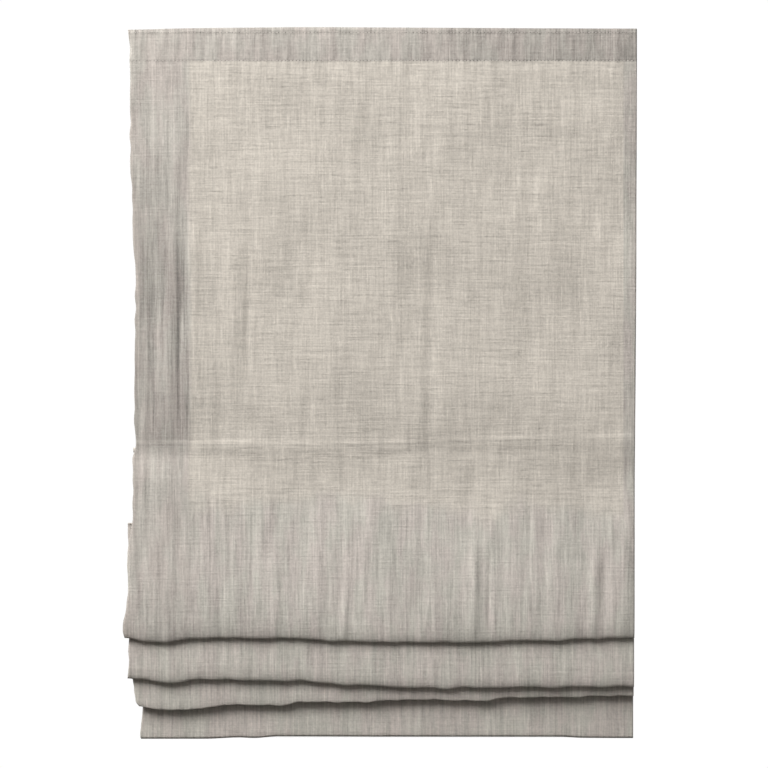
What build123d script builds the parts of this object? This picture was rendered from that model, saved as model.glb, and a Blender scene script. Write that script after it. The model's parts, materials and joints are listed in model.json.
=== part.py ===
from build123d import *
import os

# A corded roman blind, shown part raised: a headrail with a chain-driven cord shaft,
# and one long cloth that hangs in three folds from four stiffening rods.
# X runs along the blind, +Y points at the wall, +Z is up. The origin is the point midway
# between the two wall screw holes, on the wall plane. All sizes are in millimetres.

# ---- cloth
CLOTH_WIDTH = 509.0
CLOTH_T = 0.8  # unlined linen with its creases
CLOTH_LAYER_GAP = 0.6  # air between neighbouring layers of the folded stack
ROD_1_DROP = 422.0  # top edge of the cloth down to the first rod
ROD_2_DROP = 493.0  # top edge down to the second rod, as raised
ROD_PITCH = 15.0  # the raised rods stack this far apart
FOLD_CLOTH = 308.0  # cloth between one rod and the next
TAIL_CLOTH = 189.0  # drop from the last rod to the hem
TAIL_SET_BACK = 7.0  # the last run of cloth slopes back this far below the cord orbs
TAIL_SLOPE_START = 20.0  # below the last rod
TAIL_SLOPE_H = 66.0
CLOTH_ABOVE_BRACKET = 1.0
BODY_GAP = 0.4  # air between pieces that slide past each other

# ---- rods, pockets, rings and cords
ROD_R = 2.0
ROD_INSET = 6.0  # rod end to cloth edge
POCKET_T = 0.4
POCKET_CLEARANCE = 0.1
POCKET_INSET = 3.0
RING_WIRE_R = 1.0
RING_R = 5.6  # to the middle of the ring's wire
RING_CLIP_T = 0.9
RING_CLIP_W = 6.0
RING_GAP = 0.1
CORD_R = 0.6
CORD_INSET = 99.5  # cloth edge to a lift cord
ORB_R = 4.5
ORB_H = 12.0
ORB_DROP = 3.0  # ring plane down to the top of the cord orb

# ---- bottom hem and its weight bar
BAR_W = 22.0
BAR_T = 3.0
BAR_CLEARANCE = 0.2
BAR_INSET = 15.0
HEM_POCKET_H = 32.0
HEM_SEAM_H = 4.0

# ---- headrail
RAIL_DEPTH = 40.0
RAIL_HEIGHT = 30.0
RAIL_T = 1.5
RAIL_LIP = 5.0
RAIL_WALL_GAP = 2.3  # back of the rail to the bracket's back plate
END_INSET = 2.0  # cloth edge to the outside of either end cap
END_CAP_T = 2.5
PLUG_L = 8.0
PLUG_CLEARANCE = 0.2
PLUG_WALL = 2.0
TAPE_T = 1.2
TAPE_W = 28.0
LOOP_TAPE_INSET = 4.0

# ---- cord shaft
SHAFT_SIDE = 5.0
SHAFT_CLEARANCE = 0.1
DRUM_R = 8.0
DRUM_L = 28.0
FLANGE_R = 11.0
FLANGE_T = 1.5
FLANGE_CLEARANCE = 1.0
AXIS_SET_BACK = 0.975  # middle of the rail to the shaft's axis
JOURNAL_R = 5.0
RUNNING_CLEARANCE = 0.05
CRADLE_WALL = 3.0
CRADLE_FLOOR = 1.0
CRADLE_SIDE_H = 8.0
CRADLE_GAP = 0.5  # spool flange to cradle wall
CORD_OFF_CENTRE = 8.0  # spool centre to the cord that leaves it
SLOT_L = 12.0
SLOT_W = 6.0
TURN_PITCH = 1.25

# ---- chain control
HOUSING_L = 17.5
HOUSING_WALL = 2.0
BEARING_WALL = 6.0
SPRING_L = 2.8
SPRING_T = 1.2
SPRING_CLEARANCE = 0.1
WHEEL_R = 10.5
WHEEL_W = 8.0
WHEEL_GAP = 0.8
BEADS = 10
BEAD_R = 2.2
CHAIN_SLOT_W = 7.0
CHAIN_ROOM = 5.0  # beside the wheel, for a strand of beads
COVER_PIN_R = 3.0
COVER_SCREW_R = 1.25
SCREW_CLEARANCE = 0.05
SCREW_HEAD_R = 2.3
SCREW_HEAD_T = 1.2
SCREW_L = 9.0

# ---- brackets
PLATE_T = 1.5
BRACKET_W = 20.0
BRACKET_INSET = 49.5  # cloth edge to a bracket's centre
BRACKET_TOP = 18.0  # above the wall screws
BRACKET_FOOT = 12.0  # back plate below the wall screws
SCREW_HOLE_R = 2.25
CEILING_HOLE_Y = -8.0
HOOK_GAP = 0.3
HOOK_REACH = 4.0
LEVER_T = 1.6
LEVER_GAP = 0.2
LEVER_L = 17.0
LEVER_W = 8.0
PIVOT_FROM_LIP = 9.7
CAM_REACH = 3.3  # under the rear lip
CAM_W = 9.0
CAM_T = 3.2
STEM_R = 4.8
RIVET_R = 1.5
RIVET_HEAD_R = 3.0
RIVET_HEAD_T = 0.8

# ---- places that follow from the sizes
half_width = CLOTH_WIDTH / 2
cloth_top = BRACKET_TOP + CLOTH_ABOVE_BRACKET
pocket_in = ROD_R + POCKET_CLEARANCE
pocket_out = pocket_in + POCKET_T
ring_out = RING_R + RING_WIRE_R
layer_pitch = CLOTH_T + CLOTH_LAYER_GAP

# Depths behind the cloth's front face: seven layers of cloth, four rods and their rings.
layer_depth = [CLOTH_T / 2 + layer_pitch * i for i in range(7)]
rod_depth = [CLOTH_T + RING_GAP / 2 + pocket_out]
rod_depth += [layer_depth[2 * i] + CLOTH_T / 2 + BODY_GAP + pocket_out for i in range(3)]
ring_depth = [d + pocket_out + RING_GAP + ring_out for d in rod_depth]
cord_depth = (ring_depth[0] + ring_depth[3]) / 2

rail_back = -(PLATE_T + RAIL_WALL_GAP)
rail_front = rail_back - RAIL_DEPTH
rail_mid_y = (rail_back + rail_front) / 2
cloth_front = rail_front - 2 * TAPE_T - CLOTH_T
rail_top = BRACKET_TOP - PLATE_T - LEVER_T - 2 * LEVER_GAP
rail_bottom = rail_top - RAIL_HEIGHT
rail_mid_z = (rail_top + rail_bottom) / 2
rail_left = -half_width + END_INSET + END_CAP_T
rail_right = half_width - END_INSET - END_CAP_T - HOUSING_L
lip_bottom = rail_top - RAIL_T

layer_y = [cloth_front + d for d in layer_depth]
turn_r = layer_pitch / 2
turn_out = turn_r + CLOTH_T / 2
rod_z = [cloth_top - ROD_1_DROP] + [cloth_top - ROD_2_DROP - ROD_PITCH * i for i in range(3)]
rod_y = [cloth_front + d for d in rod_depth]
nose_z = [(rod_z[i] + rod_z[i + 1] - FOLD_CLOTH) / 2 for i in range(3)]
hem_z = rod_z[3] - TAIL_CLOTH

# Each raised rod's pocket rests in the hollow just behind the crest that it is sewn to.
crest_gap = pocket_out + RING_GAP / 2 + turn_out
crest_back = [rod_y[i + 1] - (layer_y[2 * i + 1] + layer_y[2 * i + 2]) / 2 for i in range(3)]
crest_z = [rod_z[i + 1] - (crest_gap**2 - crest_back[i] ** 2) ** 0.5 for i in range(3)]

ring_y = [cloth_front + d for d in ring_depth]
cord_x = {"left": -half_width + CORD_INSET, "right": half_width - CORD_INSET}
# Above the first ring a cord runs from the front of its spool, and below it straight down.
cord_y = cloth_front + cord_depth
axis_y = rail_mid_y + AXIS_SET_BACK
spool_cord_y = axis_y - DRUM_R - CORD_R - RUNNING_CLEARANCE
axis_z = rail_bottom + RAIL_T + CRADLE_FLOOR + FLANGE_CLEARANCE + FLANGE_R
orb_top = rod_z[3] - ORB_DROP

spool_half = DRUM_L / 2 + FLANGE_T
cradle_half = spool_half + CRADLE_GAP + CRADLE_WALL
bore_side = SHAFT_SIDE + 2 * SHAFT_CLEARANCE
bracket_x = {"left": -half_width + BRACKET_INSET, "right": half_width - BRACKET_INSET}
pivot_y = rail_back - RAIL_T - RAIL_LIP - PIVOT_FROM_LIP
cam_top = lip_bottom - LEVER_GAP - 0.1
cover_in = rail_right + HOUSING_L
wheel_x = rail_right + BEARING_WALL + WHEEL_GAP

os.makedirs("parts", exist_ok=True)


def across(x):
    """The plane of a cross-section at x: its first axis is Y and its second is Z."""
    return Plane.YZ.offset(x)


# ================================================================ cloth
# The front panel hangs straight from the header to the first fold.
front_end = nose_z[0] + CLOTH_T + turn_r + BODY_GAP
with BuildPart() as front_panel:
    with BuildSketch(across(-half_width)):
        with Locations((layer_y[0], (cloth_top + front_end) / 2)):
            Rectangle(CLOTH_T, cloth_top - front_end)
    extrude(amount=CLOTH_WIDTH)
front_panel.part.label = "front_panel"
export_step(front_panel.part, "parts/front_panel.step")

# Each further section turns up at a fold, hangs over its rod and runs down to the next
# fold. It holds the whole turn at its lower front, so that it can slide down freely.
for i, name in enumerate(["upper_fold_cloth", "middle_fold_cloth"]):
    y0, y1, y2 = layer_y[2 * i : 2 * i + 3]
    turn = nose_z[i] + CLOTH_T / 2 + turn_r
    crest = crest_z[i]
    end = nose_z[i + 1] + CLOTH_T + turn_r + BODY_GAP
    with BuildPart() as fold_cloth:
        with BuildSketch(across(-half_width)):
            with BuildLine():
                ThreePointArc((y0, turn), ((y0 + y1) / 2, turn - turn_r), (y1, turn))
                Line((y1, turn), (y1, crest))
                ThreePointArc((y1, crest), ((y1 + y2) / 2, crest + turn_r), (y2, crest))
                Line((y2, crest), (y2, end))
            trace(line_width=CLOTH_T)
        extrude(amount=CLOTH_WIDTH)
    fold_cloth.part.label = name
    export_step(fold_cloth.part, f"parts/{name}.step")

# The last section slopes back below the cord orbs and ends in a hem pocket for the weight
# bar: down the front, round under the bar, up behind it and in to a short seam.
y0, y1, y2 = layer_y[4:7]
turn = nose_z[2] + CLOTH_T / 2 + turn_r
crest = crest_z[2]
hem_r = BAR_T / 2 + BAR_CLEARANCE + CLOTH_T / 2
hem_turn = hem_z + CLOTH_T / 2 + hem_r
tail_y = y2 + TAIL_SET_BACK
hem_back = tail_y + 2 * hem_r
hem_shoulder = hem_z + HEM_POCKET_H - hem_r
seam_y = tail_y + CLOTH_T + POCKET_CLEARANCE
slope_top = rod_z[3] - TAIL_SLOPE_START
with BuildPart() as bottom_cloth:
    with BuildSketch(across(-half_width)):
        with BuildLine():
            ThreePointArc((y0, turn), ((y0 + y1) / 2, turn - turn_r), (y1, turn))
            Line((y1, turn), (y1, crest))
            ThreePointArc((y1, crest), ((y1 + y2) / 2, crest + turn_r), (y2, crest))
            Polyline(
                (y2, crest),
                (y2, slope_top),
                (tail_y, slope_top - TAIL_SLOPE_H),
                (tail_y, hem_turn),
            )
            ThreePointArc((tail_y, hem_turn), (tail_y + hem_r, hem_turn - hem_r), (hem_back, hem_turn))
            Polyline(
                (hem_back, hem_turn),
                (hem_back, hem_shoulder),
                (seam_y, hem_shoulder + hem_back - seam_y),
                (seam_y, hem_shoulder + hem_back - seam_y + HEM_SEAM_H),
            )
        trace(line_width=CLOTH_T)
    extrude(amount=CLOTH_WIDTH)
bottom_cloth.part.label = "bottom_cloth"
export_step(bottom_cloth.part, "parts/bottom_cloth.step")

with BuildPart() as weight_bar:
    with BuildSketch(across(-half_width + BAR_INSET)):
        with Locations((tail_y + hem_r, hem_turn + (BAR_W - BAR_T) / 2)):
            SlotOverall(BAR_W, BAR_T, rotation=90)
    extrude(amount=CLOTH_WIDTH - 2 * BAR_INSET)
weight_bar.part.label = "weight_bar"
export_step(weight_bar.part, "parts/weight_bar.step")

# ================================================================ rods, pockets and rings
for i in range(4):
    with BuildPart() as rod:
        with BuildSketch(across(-half_width + ROD_INSET)):
            with Locations((rod_y[i], rod_z[i])):
                Circle(ROD_R)
        extrude(amount=CLOTH_WIDTH - 2 * ROD_INSET)
    rod.part.label = f"rod_{i + 1}"
    export_step(rod.part, f"parts/rod_{i + 1}.step")

    with BuildPart() as pocket:
        with BuildSketch(across(-half_width + POCKET_INSET)):
            with Locations((rod_y[i], rod_z[i])):
                Circle(pocket_out)
                Circle(pocket_in, mode=Mode.SUBTRACT)
        extrude(amount=CLOTH_WIDTH - 2 * POCKET_INSET)
    pocket.part.label = f"rod_pocket_{i + 1}"
    export_step(pocket.part, f"parts/rod_pocket_{i + 1}.step")

    # A ring lies flat behind the pocket, on a clip round the pocket's rear half.
    clip_in = pocket_out + RING_GAP / 2
    for side, x in cord_x.items():
        with BuildPart() as ring:
            with BuildSketch(across(x - RING_CLIP_W / 2)):
                with Locations((rod_y[i], rod_z[i])):
                    Circle(clip_in + RING_CLIP_T)
                    Circle(clip_in, mode=Mode.SUBTRACT)
                with Locations((rod_y[i] - clip_in, rod_z[i])):
                    Rectangle(2 * clip_in, 4 * clip_in, mode=Mode.SUBTRACT)
            extrude(amount=RING_CLIP_W)
            with Locations((x, ring_y[i], rod_z[i])):
                Torus(RING_R, RING_WIRE_R)
        ring.part.label = f"ring_{i + 1}_{side}"
        export_step(ring.part, f"parts/ring_{i + 1}_{side}.step")

# ================================================================ lift cords
for side, x in cord_x.items():
    with BuildPart() as lift_cord:
        with BuildSketch(Plane.XY.offset(orb_top)):
            with Locations((x, cord_y)):
                Circle(CORD_R)
        extrude(amount=rod_z[0] - orb_top)
        with BuildSketch(Plane.XY.offset(rod_z[0])):
            with Locations((x, cord_y)):
                Circle(CORD_R)
        with BuildSketch(Plane.XY.offset(axis_z)):
            with Locations((x, spool_cord_y)):
                Circle(CORD_R)
        loft()
    lift_cord.part.label = f"lift_cord_{side}"
    export_step(lift_cord.part, f"parts/lift_cord_{side}.step")

    # The orb is a turned bead that the cord is knotted into.
    with BuildPart() as cord_orb:
        with BuildSketch(Plane.XY.offset(orb_top - ORB_H)):
            with Locations((x, cord_y)):
                Circle(ORB_R)
        extrude(amount=ORB_H)
        fillet(cord_orb.edges().filter_by(GeomType.CIRCLE), ORB_R / 2)
    cord_orb.part.label = f"cord_orb_{side}"
    export_step(cord_orb.part, f"parts/cord_orb_{side}.step")

# ================================================================ headrail
inner_front = rail_front + RAIL_T
inner_back = rail_back - RAIL_T
inner_floor = rail_bottom + RAIL_T
with BuildPart() as headrail:
    with BuildSketch(across(rail_left)):
        with Locations((rail_mid_y, rail_mid_z)):
            RectangleRounded(RAIL_DEPTH, RAIL_HEIGHT, RAIL_T / 2)
            Rectangle(RAIL_DEPTH - 2 * RAIL_T, RAIL_HEIGHT - 2 * RAIL_T, mode=Mode.SUBTRACT)
        with Locations((rail_mid_y, rail_top)):
            Rectangle(RAIL_DEPTH - 2 * RAIL_T - 2 * RAIL_LIP, 4 * RAIL_T, mode=Mode.SUBTRACT)
    extrude(amount=rail_right - rail_left)
    for x in cord_x.values():
        with Locations((x, spool_cord_y, rail_bottom + RAIL_T / 2)):
            Box(SLOT_L, SLOT_W, 2 * RAIL_T, mode=Mode.SUBTRACT)
headrail.part.label = "headrail"
export_step(headrail.part, "parts/headrail.step")

with BuildPart() as hook_tape:
    with BuildSketch(across(rail_left)):
        with Locations((rail_front - TAPE_T / 2, rail_mid_z)):
            Rectangle(TAPE_T, TAPE_W)
    extrude(amount=rail_right - rail_left)
hook_tape.part.label = "hook_tape"
export_step(hook_tape.part, "parts/hook_tape.step")

with BuildPart() as loop_tape:
    with BuildSketch(across(-half_width + LOOP_TAPE_INSET)):
        with Locations((rail_front - 1.5 * TAPE_T, rail_mid_z)):
            Rectangle(TAPE_T, TAPE_W)
    extrude(amount=CLOTH_WIDTH - 2 * LOOP_TAPE_INSET)
loop_tape.part.label = "loop_tape"
export_step(loop_tape.part, "parts/loop_tape.step")

plug_depth = RAIL_DEPTH - 2 * RAIL_T - 2 * PLUG_CLEARANCE
plug_height = RAIL_HEIGHT - 2 * RAIL_T - 2 * PLUG_CLEARANCE
with BuildPart() as end_cap:
    with BuildSketch(across(rail_left - END_CAP_T)):
        with Locations((rail_mid_y, rail_mid_z)):
            RectangleRounded(RAIL_DEPTH, RAIL_HEIGHT, RAIL_T)
    extrude(amount=END_CAP_T)
    with BuildSketch(across(rail_left)):
        with Locations((rail_mid_y, rail_mid_z)):
            Rectangle(plug_depth, plug_height)
            Rectangle(plug_depth - 2 * PLUG_WALL, plug_height - 2 * PLUG_WALL, mode=Mode.SUBTRACT)
        with Locations((axis_y, axis_z)):
            Circle(JOURNAL_R + RUNNING_CLEARANCE + PLUG_WALL)
            Circle(JOURNAL_R + RUNNING_CLEARANCE, mode=Mode.SUBTRACT)
    extrude(amount=PLUG_L)
end_cap.part.label = "end_cap"
export_step(end_cap.part, "parts/end_cap.step")

with BuildPart() as end_bush:
    with BuildSketch(across(rail_left + PLUG_CLEARANCE)):
        with Locations((axis_y, axis_z)):
            Circle(JOURNAL_R)
            Rectangle(bore_side, bore_side, mode=Mode.SUBTRACT)
    extrude(amount=PLUG_L + CRADLE_WALL)
end_bush.part.label = "end_bush"
export_step(end_bush.part, "parts/end_bush.step")

# ================================================================ cord shaft, spools, cradles
shaft_left = rail_left + 2 * PLUG_CLEARANCE
shaft_right = wheel_x + WHEEL_W / 2
with BuildPart() as shaft:
    with BuildSketch(across(shaft_left)):
        with Locations((axis_y, axis_z)):
            Rectangle(SHAFT_SIDE, SHAFT_SIDE)
    extrude(amount=shaft_right - shaft_left)
shaft.part.label = "shaft"
export_step(shaft.part, "parts/shaft.step")

# The turns of cord that the spool holds while the blind is raised.
full_drop = ROD_1_DROP + 3 * FOLD_CLOTH + TAIL_CLOTH
raised_drop = cloth_top - hem_z
wound_turns = (full_drop - raised_drop) / (2 * 3.1416 * (DRUM_R + CORD_R))
winding_l = min(wound_turns * TURN_PITCH, DRUM_L / 2 + CORD_OFF_CENTRE - 2 * CORD_R)

for side, x in cord_x.items():
    spool_x = x - CORD_OFF_CENTRE
    with BuildPart() as spool:
        with BuildSketch(across(spool_x - cradle_half - CRADLE_GAP)):
            with Locations((axis_y, axis_z)):
                Circle(JOURNAL_R)
        extrude(amount=2 * (cradle_half + CRADLE_GAP))
        with BuildSketch(across(spool_x - DRUM_L / 2)):
            with Locations((axis_y, axis_z)):
                Circle(DRUM_R)
        extrude(amount=DRUM_L)
        with BuildSketch(across(spool_x - spool_half), across(spool_x + DRUM_L / 2)):
            with Locations((axis_y, axis_z)):
                Circle(FLANGE_R)
        extrude(amount=FLANGE_T)
        with BuildSketch(across(spool_x - cradle_half - CRADLE_GAP)):
            with Locations((axis_y, axis_z)):
                Rectangle(bore_side, bore_side)
        extrude(amount=2 * (cradle_half + CRADLE_GAP), mode=Mode.SUBTRACT)
    spool.part.label = f"spool_{side}"
    export_step(spool.part, f"parts/spool_{side}.step")

    with BuildPart() as winding:
        with BuildSketch(across(x - CORD_R - RUNNING_CLEARANCE - winding_l)):
            with Locations((axis_y, axis_z)):
                Circle(DRUM_R + RUNNING_CLEARANCE + 2 * CORD_R)
                Circle(DRUM_R + RUNNING_CLEARANCE / 2, mode=Mode.SUBTRACT)
        extrude(amount=winding_l)
    winding.part.label = f"cord_turns_{side}"
    export_step(winding.part, f"parts/cord_turns_{side}.step")

    # A cradle is a moulded trough: a floor, two bearing walls and low front and rear walls.
    cradle_floor_z = inner_floor + PLUG_CLEARANCE / 2
    with BuildPart() as cradle:
        with BuildSketch(Plane.XY.offset(cradle_floor_z)):
            with Locations((spool_x, rail_mid_y)):
                Rectangle(2 * cradle_half, plug_depth)
            with Locations((x, spool_cord_y)):
                SlotOverall(SLOT_L / 2, SLOT_W / 2, mode=Mode.SUBTRACT)
        extrude(amount=CRADLE_FLOOR - PLUG_CLEARANCE / 2)
        with BuildSketch(Plane.XY.offset(cradle_floor_z)):
            for dy in (-1, 1):
                with Locations((spool_x, rail_mid_y + dy * (plug_depth - PLUG_WALL) / 2)):
                    Rectangle(2 * cradle_half, PLUG_WALL)
        extrude(amount=CRADLE_SIDE_H)
        with BuildSketch(across(spool_x - cradle_half), across(spool_x + cradle_half - CRADLE_WALL)):
            with Locations((rail_mid_y, (cradle_floor_z + lip_bottom - PLUG_CLEARANCE) / 2)):
                Rectangle(plug_depth, lip_bottom - PLUG_CLEARANCE - cradle_floor_z)
            with Locations((axis_y, axis_z)):
                Circle(JOURNAL_R + RUNNING_CLEARANCE, mode=Mode.SUBTRACT)
        extrude(amount=CRADLE_WALL)
    cradle.part.label = f"cradle_{side}"
    export_step(cradle.part, f"parts/cradle_{side}.step")

# ================================================================ chain control
cavity_y = WHEEL_R + CHAIN_ROOM
cavity_top = min(axis_z + WHEEL_R + WHEEL_GAP, rail_top - HOUSING_WALL)
screw_yz = [(rail_front + 4.5, rail_top - 4.5), (rail_back - 4.5, rail_top - 4.5)]
with BuildPart() as chain_housing:
    with BuildSketch(across(rail_right)):
        with Locations((rail_mid_y, rail_mid_z)):
            RectangleRounded(RAIL_DEPTH, RAIL_HEIGHT, RAIL_T)
    extrude(amount=HOUSING_L)
    with BuildSketch(across(rail_right - PLUG_L)):
        with Locations((rail_mid_y, rail_mid_z)):
            Rectangle(plug_depth, plug_height)
            Rectangle(plug_depth - 2 * PLUG_WALL, plug_height - 2 * PLUG_WALL, mode=Mode.SUBTRACT)
    extrude(amount=PLUG_L)
    # The wheel's room is open to the cover's side.
    with BuildSketch(across(rail_right + BEARING_WALL)):
        with BuildLine():
            Polyline(
                (axis_y - cavity_y, inner_floor),
                (axis_y + cavity_y, inner_floor),
                (axis_y + cavity_y, axis_z + WHEEL_R / 2),
                (axis_y + WHEEL_R - WHEEL_GAP, cavity_top),
                (axis_y - WHEEL_R + WHEEL_GAP, cavity_top),
                (axis_y - cavity_y, axis_z + WHEEL_R / 2),
                close=True,
            )
        make_face()
    extrude(amount=HOUSING_L - BEARING_WALL, mode=Mode.SUBTRACT)
    # Two slots in its floor let the chain's strands out.
    with BuildSketch(Plane.XY.offset(rail_bottom - RAIL_T)):
        for dy in (-1, 1):
            with Locations((wheel_x + WHEEL_W / 2, axis_y + dy * (WHEEL_R + CHAIN_ROOM / 2))):
                Rectangle(CHAIN_SLOT_W, CHAIN_ROOM)
    extrude(amount=3 * RAIL_T, mode=Mode.SUBTRACT)
    with BuildSketch(across(rail_right - PLUG_L)):
        with Locations((axis_y, axis_z)):
            Circle(JOURNAL_R + RUNNING_CLEARANCE)
    extrude(amount=PLUG_L + BEARING_WALL, mode=Mode.SUBTRACT)
    with BuildSketch(across(rail_right + BEARING_WALL - SPRING_L - SPRING_CLEARANCE)):
        with Locations((axis_y, axis_z)):
            Circle(JOURNAL_R + 2 * SPRING_CLEARANCE + SPRING_T)
    extrude(amount=SPRING_L + SPRING_CLEARANCE, mode=Mode.SUBTRACT)
    with BuildSketch(across(cover_in - SCREW_L)):
        with Locations(*screw_yz):
            Circle(COVER_SCREW_R + SCREW_CLEARANCE)
    extrude(amount=SCREW_L, mode=Mode.SUBTRACT)
chain_housing.part.label = "chain_housing"
export_step(chain_housing.part, "parts/chain_housing.step")

with BuildPart() as brake_spring:
    with BuildSketch(across(rail_right + BEARING_WALL - SPRING_L)):
        with Locations((axis_y, axis_z)):
            Circle(JOURNAL_R + SPRING_CLEARANCE + SPRING_T)
            Circle(JOURNAL_R + SPRING_CLEARANCE, mode=Mode.SUBTRACT)
    extrude(amount=SPRING_L)
brake_spring.part.label = "brake_spring"
export_step(brake_spring.part, "parts/brake_spring.step")

with BuildPart() as chain_wheel:
    with BuildSketch(across(wheel_x)):
        with Locations((axis_y, axis_z)):
            Circle(WHEEL_R)
    extrude(amount=WHEEL_W)
    with BuildSketch(across(rail_right + PLUG_CLEARANCE)):
        with Locations((axis_y, axis_z)):
            Circle(JOURNAL_R)
    extrude(amount=BEARING_WALL + WHEEL_GAP - PLUG_CLEARANCE)
    with BuildSketch(across(rail_right + PLUG_CLEARANCE)):
        with Locations((axis_y, axis_z)):
            Rectangle(bore_side, bore_side)
    extrude(amount=shaft_right - rail_right, mode=Mode.SUBTRACT)
    with BuildSketch(across(wheel_x + WHEEL_W - 3 * PLUG_CLEARANCE - COVER_PIN_R)):
        with Locations((axis_y, axis_z)):
            Circle(COVER_PIN_R + RUNNING_CLEARANCE)
    extrude(amount=COVER_PIN_R + 3 * PLUG_CLEARANCE, mode=Mode.SUBTRACT)
    # Pockets round the rim seat the beads of the chain.
    wheel_mid = Plane(origin=(wheel_x + WHEEL_W / 2, axis_y, axis_z), z_dir=(1, 0, 0))
    with Locations(wheel_mid):
        with PolarLocations(WHEEL_R, BEADS):
            Sphere(BEAD_R, mode=Mode.SUBTRACT)
chain_wheel.part.label = "chain_wheel"
export_step(chain_wheel.part, "parts/chain_wheel.step")

with BuildPart() as chain_cover:
    with BuildSketch(across(cover_in)):
        with Locations((rail_mid_y, rail_mid_z)):
            RectangleRounded(RAIL_DEPTH, RAIL_HEIGHT, RAIL_T)
        with Locations(*screw_yz):
            Circle(COVER_SCREW_R + SCREW_CLEARANCE, mode=Mode.SUBTRACT)
    extrude(amount=END_CAP_T)
    pin_tip = wheel_x + WHEEL_W - COVER_PIN_R
    with BuildSketch(across(pin_tip)):
        with Locations((axis_y, axis_z)):
            Circle(COVER_PIN_R)
    extrude(amount=cover_in - pin_tip)
chain_cover.part.label = "chain_cover"
export_step(chain_cover.part, "parts/chain_cover.step")

# The heads stand in the cover's thickness of room outside it, under the cloth's edge.
with BuildPart() as cover_screws:
    with BuildSketch(across(cover_in + END_CAP_T)):
        with Locations(*screw_yz):
            Circle(SCREW_HEAD_R)
    extrude(amount=SCREW_HEAD_T)
    with BuildSketch(across(cover_in + END_CAP_T - SCREW_L)):
        with Locations(*screw_yz):
            Circle(COVER_SCREW_R)
    extrude(amount=SCREW_L)
cover_screws.part.label = "cover_screws"
export_step(cover_screws.part, "parts/cover_screws.step")

# ================================================================ brackets
hook_y = inner_front + RAIL_LIP + HOOK_GAP
foot_z = lip_bottom - HOOK_GAP - PLATE_T
plate_bottom = BRACKET_TOP - PLATE_T
lever_z = rail_top + LEVER_GAP
for side, x in bracket_x.items():
    with BuildPart() as bracket:
        # Seen along the rail: wall plate, top plate, and a hook under the rail's front lip.
        with BuildSketch(across(x - BRACKET_W / 2)):
            with BuildLine():
                Polyline(
                    (0, -BRACKET_FOOT),
                    (0, BRACKET_TOP),
                    (hook_y, BRACKET_TOP),
                    (hook_y, foot_z + PLATE_T),
                    (hook_y - HOOK_REACH, foot_z + PLATE_T),
                    (hook_y - HOOK_REACH, foot_z),
                    (hook_y + PLATE_T, foot_z),
                    (hook_y + PLATE_T, plate_bottom),
                    (-PLATE_T, plate_bottom),
                    (-PLATE_T, -BRACKET_FOOT),
                    close=True,
                )
            make_face()
        extrude(amount=BRACKET_W)
        with BuildSketch(Plane.XZ):
            with Locations((x, 0)):
                Circle(SCREW_HOLE_R)
        extrude(amount=2 * PLATE_T, both=True, mode=Mode.SUBTRACT)
        with BuildSketch(Plane.XY.offset(plate_bottom - PLATE_T)):
            with Locations((x, CEILING_HOLE_Y)):
                Circle(SCREW_HOLE_R)
            with Locations((x, pivot_y)):
                Circle(RIVET_R + RUNNING_CLEARANCE)
        extrude(amount=3 * PLATE_T, mode=Mode.SUBTRACT)
    bracket.part.label = f"bracket_{side}"
    export_step(bracket.part, f"parts/bracket_{side}.step")

    # The lever lies between rail and bracket; its cam locks under the rail's rear lip.
    cam_l = PIVOT_FROM_LIP + CAM_REACH
    with BuildPart() as lever:
        with BuildSketch(Plane.XY.offset(lever_z)):
            with Locations((x + LEVER_L / 2, pivot_y)):
                Rectangle(LEVER_L, LEVER_W)
            with Locations((x, pivot_y)):
                Circle(STEM_R)
        extrude(amount=LEVER_T)
        fillet(lever.edges().filter_by(Axis.Z).sort_by(Axis.X)[-2:], LEVER_W / 3)
        with BuildSketch(Plane.XY.offset(cam_top - CAM_T)):
            with Locations((x, pivot_y)):
                Circle(STEM_R)
        extrude(amount=lever_z - cam_top + CAM_T)
        with BuildSketch(Plane.XY.offset(cam_top - CAM_T)):
            with Locations((x, pivot_y + cam_l / 2)):
                RectangleRounded(CAM_W, cam_l, CAM_W / 4)
        extrude(amount=CAM_T)
        with BuildSketch(Plane.XY.offset(cam_top - CAM_T)):
            with Locations((x, pivot_y)):
                Circle(RIVET_R + RUNNING_CLEARANCE)
        extrude(amount=lever_z + LEVER_T - cam_top + CAM_T, mode=Mode.SUBTRACT)
    lever.part.label = f"lock_lever_{side}"
    export_step(lever.part, f"parts/lock_lever_{side}.step")

    rivet_foot = cam_top - CAM_T - LEVER_GAP
    with BuildPart() as rivet:
        with BuildSketch(Plane.XY.offset(rivet_foot - RIVET_HEAD_T), Plane.XY.offset(BRACKET_TOP)):
            with Locations((x, pivot_y)):
                Circle(RIVET_HEAD_R)
        extrude(amount=RIVET_HEAD_T)
        with BuildSketch(Plane.XY.offset(rivet_foot)):
            with Locations((x, pivot_y)):
                Circle(RIVET_R)
        extrude(amount=BRACKET_TOP - rivet_foot)
    rivet.part.label = f"lever_rivet_{side}"
    export_step(rivet.part, f"parts/lever_rivet_{side}.step")
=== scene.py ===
"""The looks of a part-raised linen roman blind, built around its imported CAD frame."""

import json
import math

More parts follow.
